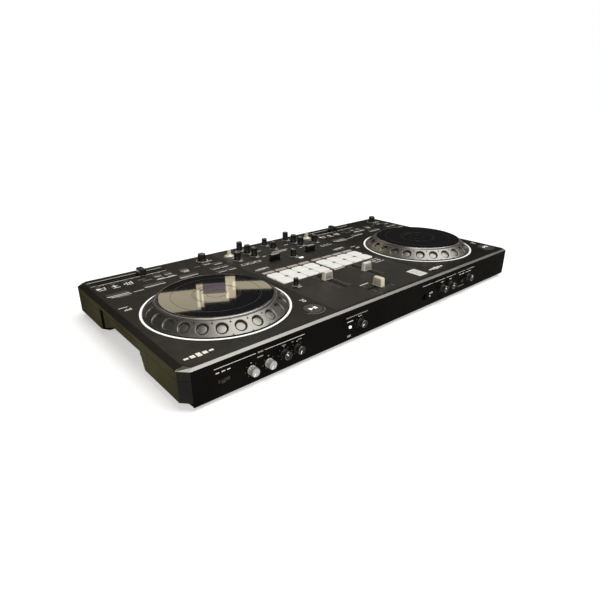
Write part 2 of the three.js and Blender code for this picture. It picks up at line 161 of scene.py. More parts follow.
def moulded(name, color, rough, grain=1400.0, depth=0.00006, spread=0.25, **more):
    """Moulded plastic: fine grain, faint blotches of colour, and rubbed patches of roughness."""
    g = Graph(name)
    blotch = g.noise(14.0, 4.0)
    low, high = shade(color, 1 - spread), shade(color, 1 + spread)
    g.set(Base_Color=g.ramp(blotch, [(0.3, low), (0.7, high)]))
    g.set(Roughness=g.range(g.noise(45.0, 5.0), rough - 0.06, rough + 0.08))
    g.bump(g.noise(grain, 2.0), depth, 0.6)
    g.set(**more)
    return g.material


def metallic(name, color, rough, stretch, spread=0.12, metal=1.0, depth=0.00002, **more):
    """Brushed or satin metal: streaks along the stretched direction."""
    g = Graph(name)
    streak = g.noise(900.0, 3.0, stretch)
    g.set(Base_Color=g.ramp(streak, [(0.3, shade(color, 1 - spread)), (0.7, shade(color, 1 + spread))]))
    g.set(Roughness=g.range(streak, rough - 0.05, rough + 0.08), Metallic=metal)
    g.bump(streak, depth, 0.4)
    g.set(**more)
    return g.material


def lit(name, color, glow, strength, rough=0.5):
    """Milky plastic or silicone lit from behind, a little uneven in brightness."""
    g = Graph(name)
    cloud = g.noise(60.0, 3.0)
    g.set(Base_Color=g.ramp(cloud, [(0.3, shade(color, 0.94)), (0.7, color)]))
    g.set(Emission_Color=g.ramp(cloud, [(0.25, shade(glow, 0.9)), (0.75, glow)]))
    g.set(Emission_Strength=strength, Roughness=rough)
    g.bump(g.noise(1800.0, 2.0), 0.00004, 0.4)
    return g.material


def printed(name, color, strength=0.0):
    """Screen print: slightly uneven ink; a strength makes the ink glow, which is painted light."""
    g = Graph(name)
    ink = g.noise(500.0, 4.0)
    g.set(Base_Color=g.ramp(ink, [(0.25, shade(color, 0.75)), (0.6, color)]), Roughness=0.55)
    if strength:
        g.set(Emission_Color=(*color, 1.0), Emission_Strength=strength)
    return g.material


def mirror_black(name):
    """The jog wheel's top disc: black gloss with dust and faint circular scratches."""
    g = Graph(name)
    flat = g.node("Mapping", Vector=g.coords, Scale=(1.0, 1.0, 0.0)).outputs["Vector"]
    wave = g.tree.nodes.new("ShaderNodeTexWave")
    wave.wave_type = "RINGS"
    wave.rings_direction = "Z"
    g.tree.links.new(flat, wave.inputs["Vector"])
    for key, value in (("Scale", 900.0), ("Distortion", 3.0), ("Detail", 3.0)):
        wave.inputs[key].default_value = value
    dust = g.noise(900.0, 2.0, roughness=0.8)
    g.set(Base_Color=g.ramp(dust, [(0.62, (0.006, 0.006, 0.007)), (0.8, (0.03, 0.03, 0.028))]))
    g.set(Roughness=g.range(wave.outputs["Fac"], 0.018, 0.04, 0.0, 1.0))
    g.set(Specular_IOR_Level=0.9, Coat_Weight=0.6, Coat_Roughness=0.015)
    return g.material


MAT = {
    "casing": moulded("casing_plastic", (0.0045, 0.004, 0.0034), 0.55, Specular_IOR_Level=0.01),
    # Side walls: a lighter olive copy of the black casing plastic, painted light for the warm floor light and
    # reflection falling on them.
    "side": moulded("side_wall_painted_light", (0.044, 0.041, 0.023), 0.6, spread=0.3, Specular_IOR_Level=0.0),
    "plate": moulded("deck_plate_coating", (0.0062, 0.0058, 0.0048), 0.4, grain=2600.0, depth=0.00002,
                     Specular_IOR_Level=0.2),
    "mixer": moulded("mixer_plate_coating", (0.0142, 0.0138, 0.0118), 0.4, grain=2600.0, depth=0.00002,
                     Specular_IOR_Level=0.25),
    # Near black: the colour of small dark pins and lines, and painted shade in slots, holes and gaps.
    "gap": moulded("near_black_and_recess_shade", (0.004, 0.004, 0.004), 0.8),
    "silver": metallic("brushed_trim", (0.19, 0.188, 0.17), 0.42, (0.02, 1.0, 1.0)),
    # The trim's angled corner faces: a lighter, less metallic copy of the brushed trim, painted light on the
    # faces turned towards the light.
    "corner_trim": metallic("brushed_trim_corner_painted_light", (0.40, 0.39, 0.36), 0.42, (0.02, 1.0, 1.0), metal=0.3),
    # Chamfered corners: the casing plastic made a shade lighter, painted light on the facets turned towards
    # the light.
    "corner": moulded("casing_corner_painted_light", (0.006, 0.0058, 0.0048), 0.5, Specular_IOR_Level=0.1),
    "rim": metallic("jog_rim_paint", (0.19, 0.182, 0.163), 0.4, (1.0, 1.0, 1.0), metal=0.96,
                    spread=0.08),
    # Dimple walls: a darker copy of the rim colour, painted shade inside the finger dimples.
    "dimple_shade_wall": moulded("dimple_painted_shade", (0.012, 0.0115, 0.01), 0.45),
    "edge": metallic("jog_edge_ring", (0.34, 0.335, 0.32), 0.32, (0.1, 0.1, 1.0), spread=0.04,
                     depth=0.000002),
    "disc": mirror_black("jog_mirror_disc"),
    "lens": lit("ring_light_guide", (0.9, 0.9, 0.88), (1.0, 1.0, 0.98), 0.15),
    "pad": lit("pad_silicone", (0.66, 0.665, 0.63), (1.0, 1.0, 0.97), 0.06, 0.6),
    "key": lit("lit_key", (0.34, 0.30, 0.26), (1.0, 0.86, 0.78), 0.02, 0.45),
    "white_key": lit("white_lit_key", (0.9, 0.9, 0.87), (1.0, 1.0, 0.95), 0.45),
    "dark_key": moulded("small_key_rubber", (0.030, 0.029, 0.027), 0.5),
    "knob": moulded("knob_rubber", (0.0065, 0.0063, 0.006), 0.45, grain=2200.0, Specular_IOR_Level=0.3),
    # Knob tops and tempo cap faces: a lighter copy of the black knob rubber, a painted highlight for the
    # light falling on them.
    "knob_highlight": moulded("knob_painted_highlight", (0.045, 0.045, 0.046), 0.3, Coat_Weight=0.3),
    # Paddle tops: pale grey standing in for light on the black paddles, a painted highlight.
    "paddle_highlight": moulded("paddle_painted_highlight", (0.42, 0.41, 0.37), 0.4),
    "cap": moulded("fader_cap_grey", (0.64, 0.61, 0.54), 0.42, spread=0.08, depth=0.00003),
    # Hollowed faces of the channel fader caps: a darker copy of the cap grey, painted shade in the hollows;
    # the silver front knobs use it on their end faces.
    "cap_face": moulded("fader_cap_face", (0.30, 0.28, 0.245), 0.5, spread=0.1, depth=0.00003),
    "cream": moulded("cream_cap", (0.66, 0.60, 0.47), 0.35, spread=0.06, depth=0.00003),
    # Hollowed faces of the crossfader cap: a darker copy of the cream, painted shade in the hollows.
    "cream_face": moulded("cream_cap_painted_shade", (0.34, 0.31, 0.23), 0.5, spread=0.1, depth=0.00003),
    "ivory": moulded("ivory_knob", (0.60, 0.56, 0.46), 0.3, spread=0.06, depth=0.00002),
    "silver_knob": metallic("silver_knob_paint", (0.36, 0.355, 0.33), 0.36, (1.0, 1.0, 1.0), metal=0.6),
    "print": printed("white_screen_print", (0.72, 0.70, 0.64)),
    "print_dim": printed("grey_screen_print", (0.24, 0.225, 0.185)),
    "gloss": moulded("gloss_black_ring", (0.010, 0.010, 0.011), 0.16, depth=0.00001, Specular_IOR_Level=0.9),
    # Pointer lines: white paint with a faint glow, painted light.
    "pointer": printed("glowing_pointer_paint", (0.9, 0.9, 0.87), 0.1),
    "label": printed("paper_label", (0.66, 0.62, 0.60)),
    "label_ink": printed("faded_grey_ink", (0.36, 0.33, 0.33)),
    "rubber": moulded("foot_rubber", (0.018, 0.018, 0.018), 0.75, grain=900.0),
    "steel": metallic("nickel_steel", (0.66, 0.65, 0.62), 0.28, (1.0, 1.0, 1.0)),
    "red": moulded("red_socket_ring", (0.45, 0.02, 0.02), 0.4),
    "ghost": moulded("disc_under_print", (0.03, 0.03, 0.034), 0.3, depth=0.00001),
    "board": moulded("solder_mask", (0.02, 0.09, 0.035), 0.4),
}


# ---------------------------------------------------------------- mesh building
class Piece:
    """One mesh piece, built in millimetres about its own origin, with named materials."""

    def __init__(self, name, origin=(0.0, 0.0, 0.0), material="casing"):
        self.name = name
        self.origin = Vector(origin)
        self.mesh = bmesh.new()
        self.materials = [material]

    def slot_of(self, material):
        if material is None:
            return 0
        if material not in self.materials:
            self.materials.append(material)
        return self.materials.index(material)

    def shell(self, rings, material=None, closed=False, smooth=True, caps=True):
        """Skins rings of equal length; closed rings join first to last, and others get end caps."""
        slot = self.slot_of(material)
        rows = [[self.mesh.verts.new(p) for p in ring] for ring in rings]
        count = len(rows[0])
        pairs = list(zip(rows, rows[1:]))
        if closed:
            pairs.append((rows[-1], rows[0]))
        for low, high in pairs:
            for i in range(count):
                j = (i + 1) % count
                face = self.mesh.faces.new((low[i], low[j], high[j], high[i]))
                face.material_index = slot
                face.smooth = smooth
        if caps and not closed:
            for row, turn in ((rows[0], -1), (rows[-1], 1)):
                face = self.mesh.faces.new(row[::turn])
                face.material_index = slot
                face.smooth = False
        return self

    def turned(self, profile, segments=48, material=None, offset=(0, 0), closed=False, phase=0.0, caps=True):
        """A surface of revolution about z; profile points are (radius, z)."""
        cx, cy = offset
        rings = []
        for radius, z in profile:
            ring = []
            for i in range(segments):
                a = phase + math.tau * i / segments
                ring.append((cx + radius * math.cos(a), cy + radius * math.sin(a), z))
            rings.append(ring)
        return self.shell(rings, material, closed, caps=caps)

    def block(self, x0, x1, y0, y1, z0, z1, material=None):
        corners = [(x0, y0), (x1, y0), (x1, y1), (x0, y1)]
        rings = [[(x, y, z) for x, y in corners] for z in (z0, z1)]
        return self.shell(rings, material, smooth=False)

    def done(self, body, replaces=(), bevel=0.0, angle=35.0, turn=None):
        data = bpy.data.meshes.new(self.name)
        bmesh.ops.remove_doubles(self.mesh, verts=self.mesh.verts, dist=0.002)
        bmesh.ops.recalc_face_normals(self.mesh, faces=self.mesh.faces)
        bmesh.ops.scale(self.mesh, vec=(MM, MM, MM), verts=self.mesh.verts)
        self.mesh.to_mesh(data)
        self.mesh.free()
        piece = bpy.data.objects.new(self.name, data)
        bpy.context.scene.collection.objects.link(piece)
        for name in self.materials:
            data.materials.append(MAT[name])
        piece.location = at(*self.origin)
        if turn:
            piece.rotation_euler = turn
        bpy.context.view_layer.update()
        data.set_sharp_from_angle(angle=math.radians(angle))
        if bevel:
            add_bevel(piece, bevel)
        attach(piece, body)
        if replaces:
            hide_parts(*replaces)
        return piece


def add_bevel(piece, width):
    """Rounds the edges sharper than 40 degrees; the width is in millimetres."""
    edge = piece.modifiers.new("rounded_edges", "BEVEL")
    edge.width = width * MM
    edge.segments = 2
    edge.limit_method = "ANGLE"
    edge.angle_limit = math.radians(40.0)
    edge.harden_normals = False
    edge.use_clamp_overlap = True


def rounded(width, depth, radius, steps=5, z=0.0):
    """A rectangle with round corners, anticlockwise, centred on the origin."""
    points = []
    corners = ((1, 1, 0), (-1, 1, 90), (-1, -1, 180), (1, -1, 270))
    for sx, sy, start in corners:
        cx = sx * (width / 2 - radius)
        cy = sy * (depth / 2 - radius)
        for i in range(steps + 1):
            a = math.radians(start + 90 * i / steps)
            points.append((cx + radius * math.cos(a), cy + radius * math.sin(a), z))
    return points


def rounded_at(x, y, width, depth, radius, z):
    """The same rectangle, centred on x, y."""
    return [(x + px, y + py, z) for px, py, _ in rounded(width, depth, radius, 4)]


def dressed(node, slot, material, bevel, *regions):
    """A copy of a CAD node's form with its flat faces rejoined and its edges rounded."""
    source = frame["nodes"][node]
    mesh = bmesh.new()
    mesh.from_mesh(source.data)
    mesh.transform(source.matrix_world)
    bmesh.ops.remove_doubles(mesh, verts=mesh.verts, dist=1e-6)
    bmesh.ops.dissolve_limit(
        mesh, angle_limit=math.radians(1.0), verts=mesh.verts, edges=mesh.edges, delimit={"NORMAL"}
    )
    data = bpy.data.meshes.new(node + "_form")
    mesh.to_mesh(data)
    mesh.free()
    piece = bpy.data.objects.new(node + "_form", data)
    bpy.context.scene.collection.objects.link(piece)
    data.materials.append(MAT[material])
    for index, (other, belongs) in enumerate(regions, 1):
        data.materials.append(MAT[other])
        for face in data.polygons:
            if belongs(face):
                face.material_index = index
    add_bevel(piece, bevel)
    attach(piece, frame_body(node))
    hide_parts(node)
    return piece


def frame_body(node):
    for body, nodes in frame["record"]["behaviour"]["bodies"].items():
        if node in nodes:
            return body
    raise ValueError(node)


# ---------------------------------------------------------------- camera, floor and light
def camera():
    data = bpy.data.cameras.new("camera")
    data.sensor_width = 36.0
    data.lens = 27.62
    data.clip_start = 0.01
    eye = bpy.data.objects.new("camera", data)
    bpy.context.scene.collection.objects.link(eye)
    turn = Matrix.Rotation(math.radians(-40.987), 4, "Z")
    tilt = Matrix.Rotation(math.radians(90 - 23.005), 4, "X")
    roll = Matrix.Rotation(math.radians(0.205), 4, "Z")
    eye.matrix_world = Matrix.Translation(at(-529.6, -565.7, 258.6)) @ turn @ tilt @ roll
    bpy.context.scene.camera = eye


def stage():
    g = Graph("floor_paper")
    g.set(Base_Color=g.ramp(g.noise(3.0), [(0.3, (0.64, 0.64, 0.64)), (0.7, (0.66, 0.66, 0.66))]))
    g.set(Emission_Color=(1.0, 1.0, 1.0, 1.0), Emission_Strength=0.42, Roughness=0.9, Specular_IOR_Level=0.05)
    mesh = bpy.data.meshes.new("floor")
    reach = 12.0
    corners = [(-reach, -reach, 0), (reach, -reach, 0), (reach, reach, 0), (-reach, reach, 0)]
    mesh.from_pydata(corners, [], [(0, 1, 2, 3)])
    floor = bpy.data.objects.new("floor", mesh)
    mesh.materials.append(g.material)
    bpy.context.scene.collection.objects.link(floor)


def area_light(name, place, target, size_x, size_y, watts, color=(1, 1, 1)):
    data = bpy.data.lights.new(name, "AREA")
    data.shape = "RECTANGLE"
    data.size = size_x
    data.size_y = size_y
    data.energy = watts
    data.color = color
    lamp = bpy.data.objects.new(name, data)
    lamp.location = place
    aim = Vector(target) - Vector(place)
    lamp.rotation_euler = aim.to_track_quat("-Z", "Y").to_euler()
    bpy.context.scene.collection.objects.link(lamp)


def sun(name, toward, strength, angle, color=(1, 1, 1)):
    data = bpy.data.lights.new(name, "SUN")
    data.energy = strength
    data.angle = math.radians(angle)
    data.color = color
    lamp = bpy.data.objects.new(name, data)
    lamp.rotation_euler = (-Vector(toward)).to_track_quat("-Z", "Y").to_euler()
    bpy.context.scene.collection.objects.link(lamp)


def studio_world():
    """A white surround behind the object, and a dim one for its reflections."""
    world = bpy.data.worlds.new("studio")
    world.use_nodes = True
    tree = world.node_tree
    dim = tree.nodes["Background"]
    dim.inputs["Color"].default_value = (1.0, 0.95, 0.86, 1.0)
    dim.inputs["Strength"].default_value = 0.02
    white = tree.nodes.new("ShaderNodeBackground")
    white.inputs["Color"].default_value = (1.0, 1.0, 1.0, 1.0)
    mix = tree.nodes.new("ShaderNodeMixShader")
    ray = tree.nodes.new("ShaderNodeLightPath")
    tree.links.new(ray.outputs["Is Camera Ray"], mix.inputs["Fac"])
    tree.links.new(dim.outputs["Background"], mix.inputs[1])
    tree.links.new(white.outputs["Background"], mix.inputs[2])
    tree.links.new(mix.outputs["Shader"], tree.nodes["World Output"].inputs["Surface"])
    bpy.context.scene.world = world


BEIGE = (1.0, 0.88, 0.62)
MAUVE = (0.9, 0.72, 0.78)
# x0, x1, z0, z1, radiance and colour of the soft cards behind, which the left disc mirrors.
REFLECTED_CARDS = (
    (0.75, 1.06, 1.15, 1.31, 1.2, BEIGE),
    (1.06, 1.11, 1.14, 1.32, 1.4, BEIGE),
    (1.11, 1.33, 1.16, 1.25, 0.45, MAUVE),
    (1.11, 1.33, 1.25, 1.32, 1.4, BEIGE),
    (1.33, 1.41, 1.14, 1.32, 1.7, BEIGE),
    (1.42, 1.76, 1.23, 1.30, 1.2, BEIGE),
    (0.62, 1.5, 1.03, 1.045, 0.6, BEIGE),
)


def lights():
    studio_world()
    bpy.context.scene.view_settings.view_transform = "Standard"
    sun("soft_key", (0.32, -0.3, 1.0), 3.3, 56)
    for x0, x1, z0, z1, glow, color in REFLECTED_CARDS:
        wide, high = x1 - x0, z1 - z0
        place = ((x0 + x1) / 2, 2.5, (z0 + z1) / 2)
        area_light("card", place, (-0.2, 0.0, 0.07), wide, high, glow * math.pi * wide * high, color)
    area_light("front_fill", (-1.0, -0.8, 0.6), (0.0, 0.0, 0.03), 0.9, 0.7, 9, (1.0, 0.95, 0.86))
    area_light("back_sheen", (0.55, 1.1, 1.12), (-0.1, 0.16, 0.05), 1.7, 0.35, 4.5, (1.0, 0.88, 0.7))


# ---------------------------------------------------------------- the case
def case():
    side_x = case_high[0] - 0.001
    # Flat faces on the case's sides take the olive side material, which is painted light.
    on_side = lambda face: abs(face.normal.x) > 0.9 and abs(face.center.x) > side_x - 0.006
    upright = lambda face: abs(face.normal.z) < 0.2
    # Chamfered corner faces take the lighter corner material, which is painted light.
    on_corner = lambda face: 0.3 < abs(face.normal.x) < 0.9 and abs(face.normal.z) < 0.5
    dressed("top_case", "casing", "plate", 0.5, ("casing", upright), ("side", on_side), ("corner", on_corner))
    dressed("bottom_case", "casing", "casing", 0.7, ("side", on_side), ("corner", on_corner))
    dressed("front_panel", "casing", "casing", 0.4, ("corner", on_corner))
    # The front trim's angled end faces take the lighter corner trim, painted light.
    dressed("front_trim", "silver", "silver", 0.25, ("corner_trim", lambda face: abs(face.normal.x) > 0.25))
    dressed("rear_panel", "casing", "casing", 0.4)
    dressed("mixer_faceplate", "plate", "mixer", 0.3)
    frame["nodes"]["control_board"].data.materials.clear()
    frame["nodes"]["control_board"].data.materials.append(MAT["board"])


# ---------------------------------------------------------------- jog wheels
DIMPLES = 24
DIMPLE_R = 8.0
DIMPLE_DEPTH = 2.5
RIM_LOW = (100.0, 1.6)
RIM_HIGH = (83.2, 15.6)
RIM_IN, RIM_RISE = RIM_HIGH[0] - RIM_LOW[0], RIM_HIGH[1] - RIM_LOW[1]
RIM_RUN = math.hypot(RIM_IN, RIM_RISE)
DIMPLE_TURN = {"left": 2.3, "right": -5.0}


def rim_radius(slope):
    return RIM_LOW[0] + RIM_IN * slope


def rim_point(slope, around, push):
    """A point on the cone: slope from 0 at the foot to 1 at the top, pushed in along its normal."""
    r = rim_radius(slope) - RIM_RISE / RIM_RUN * push
    z = RIM_LOW[1] + RIM_RISE * slope + RIM_IN / RIM_RUN * push
    return (r * math.cos(around), r * math.sin(around), z)


def dimpled_rim(rim, start):
    """The finger dimples: each sector is a polar patch whose outer ring is the sector's edge."""
    middle_r = (RIM_LOW[0] + RIM_HIGH[0]) / 2
    half_v = math.pi / DIMPLES * middle_r
    half_u = RIM_RUN / 2
    corner = math.atan2(half_u, half_v)
    turns = []
    for a, b in ((-corner, corner), (corner, math.pi - corner), (math.pi - corner, math.pi + corner),
                 (math.pi + corner, math.tau - corner)):
        turns += [a + (b - a) * i / 12 for i in range(12)]
    rings = [
        (0.35, 0.94), (0.64, 0.97), (0.72, 1.0), (0.78, 0.93), (0.95, 0.3), (1.0, 0.06), (1.03, 0.01),
        (1.1, 0.0),
    ]
    # The dimple walls take the darker material: painted shade in the dimples.
    wall = rim.slot_of("dimple_shade_wall")
    for number in range(DIMPLES):
        heading = start + number * math.tau / DIMPLES
        rows = []
        for scale, depth in rings:
            row = []
            for a in turns:
                v, u = scale * DIMPLE_R * math.cos(a), scale * DIMPLE_R * math.sin(a)
                slope = 0.5 + u / RIM_RUN
                tilt = 1 + 0.45 * scale * math.sin(a)
                row.append(rim_point(slope, heading + v / rim_radius(slope), depth * tilt * DIMPLE_DEPTH))
            rows.append(row)
        reach = rings[-1][0] * DIMPLE_R
        for share in (0.3, 0.6, 0.85, 1.0):
            row = []
            for a in turns:
                t = min(half_v / max(abs(math.cos(a)), 1e-9), half_u / max(abs(math.sin(a)), 1e-9))
                near_slope = 0.5 + reach * math.sin(a) / RIM_RUN
                near_turn = reach * math.cos(a) / rim_radius(near_slope)
                slope = near_slope + share * (0.5 + t * math.sin(a) / RIM_RUN - near_slope)
                turn = near_turn + share * (t * math.cos(a) / middle_r - near_turn)
                row.append(rim_point(slope, heading + turn, 0))
            rows.append(row)
        made = [[rim.mesh.verts.new(p) for p in row] for row in rows]
        for k, (low, high) in enumerate(zip(made, made[1:])):
            for i in range(len(turns)):
                j = (i + 1) % len(turns)
                face = rim.mesh.faces.new((low[i], low[j], high[j], high[i]))
                face.smooth = True
                face.material_index = wall if 2 <= k <= 3 else 0
        hub = rim.mesh.verts.new(rim_point(0.5, heading, 0.9 * DIMPLE_DEPTH))
        for i in range(len(turns)):
            rim.mesh.faces.new((made[0][i], made[0][(i + 1) % len(turns)], hub)).smooth = True


def jog_wheel(side, x):
    body = side + "_jog_wheel"
    origin = (x, JOG_Y, 0.0)
    start = math.radians(DIMPLE_TURN[side])
    rim = Piece(side + "_jog_rim", origin, "rim")
    dimpled_rim(rim, start)
    phase = start - math.pi / DIMPLES
    count = DIMPLES * 12
    below = [RIM_LOW, (99.9, 1.1), (99.4, 0.8), (95, 0.8), (77, 12.6), (12, 12.6)]
    above = [(12, 12.6), (12, 14.6), (81.4, 14.6), (81.6, 15.2), (82.2, 15.6), RIM_HIGH]
    for profile in (below, above):
        rim.turned(profile, count, phase=phase, caps=False)
    rim.done(body, [body], angle=28)

    ring = Piece(side + "_jog_edge_ring", origin, "edge")
    ring.turned(
        [(79.6, 14.7), (80.9, 14.7), (80.9, 17.0), (80.6, 17.5), (79.9, 17.7), (79.6, 17.3)],
        192, closed=True,
    )
    ring.done(body, angle=50)

    disc = Piece(side + "_jog_disc", origin, "disc")
    disc.turned([
        (79.3, 14.7), (79.4, 17.4), (79.2, 17.8), (78.6, 18.0), (78.2, 18.0), (40, 18.0), (8, 18.0),
    ], 192)
    disc.done(body, angle=50)

    rings = Piece(side + "_jog_disc_rings", (x, JOG_Y, 18.0 - INK[0]), "ghost")
    for radius in (14, 31, 33.5, 62):
        arc_mark(rings, 0, 0, radius, 0.5, material="ghost", steps=96)
    arc_mark(rings, 0, 0, 26, 2.2, 60, 60, "ghost")
    rings.done(body, angle=50)

    marks = Piece(side + "_jog_rim_studs", origin, "gap")
    for k in range(DIMPLES):
        a = start + (k + 0.5) * math.tau / DIMPLES
        place = Vector(rim_point(0.84, a, -0.12))
        normal = Vector(rim_point(0.84, a, -1.12)) - place
        spin = normal.to_track_quat("Z", "Y").to_matrix().to_4x4()
        made = bmesh.ops.create_cone(
            marks.mesh, cap_ends=True, segments=12, radius1=1.35, radius2=1.0, depth=0.5,
            matrix=Matrix.Translation(place) @ spin,
        )
        for vertex in made["verts"]:
            for face in vertex.link_faces:
                face.smooth = False
    marks.done(body)

    hub = Piece(side + "_jog_shaft", origin, "steel")
    hub.turned([(11.2, -34), (12, -33.2), (12, 12.4), (11.5, 12.5)], 48)
    hub.done(body, angle=50)

    light = Piece(side + "_jog_ring_lens", origin, "lens")
    light.turned(
        [(101.3, -8.6), (104.3, -8.6), (104.3, -0.1), (104.0, 0.2), (101.6, 0.2), (101.3, -0.1)],
        192, closed=True,
    )
    light.done(CASE_BODY, [side + "_jog_light_ring"], angle=50)


# ---------------------------------------------------------------- knobs
def fluted(piece, sections, flutes, per=4, material=None):
    """A knob body: each section is (radius, z, depth of the flutes)."""
    count = flutes * per
    rings = []
    for radius, z, cut in sections:
        ring = []
        for i in range(count):
            a = math.tau * i / count
            r = radius - cut * (0.5 + 0.5 * math.cos(a * flutes))
            ring.append((r * math.cos(a), r * math.sin(a), z))
        rings.append(ring)
    piece.shell(rings, material)


def pointer(knob, heading, half, layers):
    """A painted line, 2 * half wide; each layer is (inner radius, outer radius, z)."""
    a = math.radians(heading)
    ca, sa = math.cos(a), math.sin(a)
    rings = []
    for r0, r1, z in layers:
        corners = ((r0, -half), (r1, -half), (r1, half), (r0, half))
        rings.append([(u * ca - v * sa, u * sa + v * ca, z) for u, v in corners])
    knob.shell(rings, "pointer", smooth=False)


SHAFT = [(3, -13.5), (3, 0.9)]


def mixer_knob(node, heading):
    r = size(node)[0] / 2
    top = top_of(node)
    knob = Piece(node + "_body", (*centre(node), 0), "knob")
    fluted(knob, [
        (r * 0.98, 0.8, 0), (r, 1.2, 0), (r, 2.6, 0), (r * 0.97, 3.0, 0), (r * 0.96, 3.4, 0.4),
        (r * 0.93, top - 2.2, 0.4), (r * 0.92, top - 1.2, 0.1), (r * 0.88, top - 0.6, 0),
    ], 18)
    # The crown's lighter material is a painted highlight.
    crown = [(r * 0.88, top - 0.65), (r * 0.87, top - 0.3), (r * 0.78, top), (r * 0.3, top)]
    knob.turned(crown, 48, "knob_highlight")
    knob.turned(SHAFT, 24, "steel")
    lean = (top - 4.1) / top * r * 0.12
    pointer(knob, heading, 0.45, [(r * 0.15, r * 0.8, top - 0.3), (r * 0.15, r * 0.8, top + 0.06)])
    pointer(knob, heading, 0.45, [(r * 0.8, r * 1.02, 3.4), (r * 0.8 - lean, r * 1.02 - lean, top - 0.7)])
    knob.done(node, [node], angle=50)


def ivory_knob(node):
    top = top_of(node)
    knob = Piece(node + "_body", (*centre(node), 0), "ivory")
    knob.turned([
        (8.2, 0.8), (8.5, 1.1), (8.45, 1.7), (7.4, 2.3), (5.2, 3.3), (4.0, 5.0), (3.6, 8.0),
        (3.35, top - 1.2), (3.1, top - 0.4), (2.4, top), (1.0, top),
    ], 48)
    knob.block(-0.35, 0.35, -3.2, -0.6, top - 0.2, top, "gap")
    knob.turned(SHAFT, 24, "steel")
    knob.done(node, [node], angle=50)


def encoder(side):
    node = side + "_browse_encoder"
    top = top_of(node)
    knob = Piece(node + "_body", (*centre(node), 0), "knob")
    fluted(knob, [
        (7.7, 0.8, 0), (8.0, 1.1, 0), (8.0, 2.0, 0), (7.3, 2.6, 0.35), (7.0, top - 2.4, 0.35),
        (6.6, top - 1.2, 0.1),
    ], 30, 3)
    # The crown's lighter material is a painted highlight.
    crown = [(6.6, top - 1.3), (6.4, top - 0.5), (5.6, top - 0.05), (4.2, top - 0.6), (1.0, top - 0.9)]
    knob.turned(crown, 48, "knob_highlight")
    knob.turned(SHAFT, 24, "steel")
    knob.done(node, [node], angle=50)


def front_knob(node, silver, heading):
    low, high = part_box(node)
    x = (low[0] + high[0]) / 2 / MM
    z = ((low[2] + high[2]) / 2 - PLATE_Z) / MM
    face = HALF_DEPTH + 0.8
    reach = (MID_Y - low[1]) / MM
    length = reach - face
    r = (high[0] - low[0]) / 2 / MM
    knob = Piece(node + "_body", (x, -face, z), "silver_knob" if silver else "knob")
    if silver:
        fluted(knob, [
            (r, 0.0, 0), (r, 1.0, 0), (r * 0.97, 1.6, 0.9), (r * 0.95, length - 2.0, 0.9),
            (r * 0.92, length - 0.9, 0.35), (r * 0.86, length - 0.3, 0.0), (r * 0.8, length - 0.3, 0.0),
        ], 14, 6)
        face_profile = [(r * 0.79, length - 0.35), (r * 0.72, length - 0.8), (r * 0.2, length - 0.8)]
        knob.turned(face_profile, 48, "cap_face")
    else:
        fluted(knob, [
            (r, 0.0, 0), (r, 1.0, 0), (r * 0.95, 1.6, 0.6), (r * 0.93, length - 1.6, 0.6),
            (r * 0.9, length - 1.0, 0.1),
        ], 18, 4)
        knob.turned([
            (r * 0.76, length - 1.1), (r * 0.93, length - 1.1), (r * 0.93, length - 0.7),
            (r * 0.84, length - 0.1), (r * 0.77, length - 0.15),
        ], 48, "gloss", closed=True)
        knob.turned([
            (r * 0.75, length - 1.05), (r * 0.75, length - 0.7), (r * 0.7, length - 0.5),
            (r * 0.2, length - 0.5),
        ], 48, "knob")
    drop = 0.8 if silver else 0.5
    pointer(knob, heading, 0.55, [(0.6, r * 0.84, w) for w in (length - drop - 0.3, length - 0.25)])
    knob.turned([(3, -16), (3, 0.2)], 24, "steel")
    knob.done(node, [node], angle=50, turn=Euler((math.pi / 2, 0, 0)))


KNOB_NODES = [n for n in frame["nodes"] if n.endswith(("_knob", "_knob_1", "_knob_2"))]
MIXER_HEADING = 90
# Whether each front knob is silver, and where its line points in degrees.
FRONT_HEADINGS = {
    "phones_mix_knob": (True, 235), "phones_level_knob": (True, 245), "mic_level_knob": (False, 130),
    "mic_tone_knob": (False, 250), "fader_curve_knob": (False, 200), "aux_level_knob": (False, 140),
    "aux_tone_knob": (False, 150), "cue_level_knob": (False, 100),
}


def knobs():
    for node in KNOB_NODES:
        if node in FRONT_HEADINGS:
            front_knob(node, *FRONT_HEADINGS[node])
        elif node.startswith("filter"):
            ivory_knob(node)
        else:
            mixer_knob(node, MIXER_HEADING)
    for side, _ in SIDES:
        encoder(side)


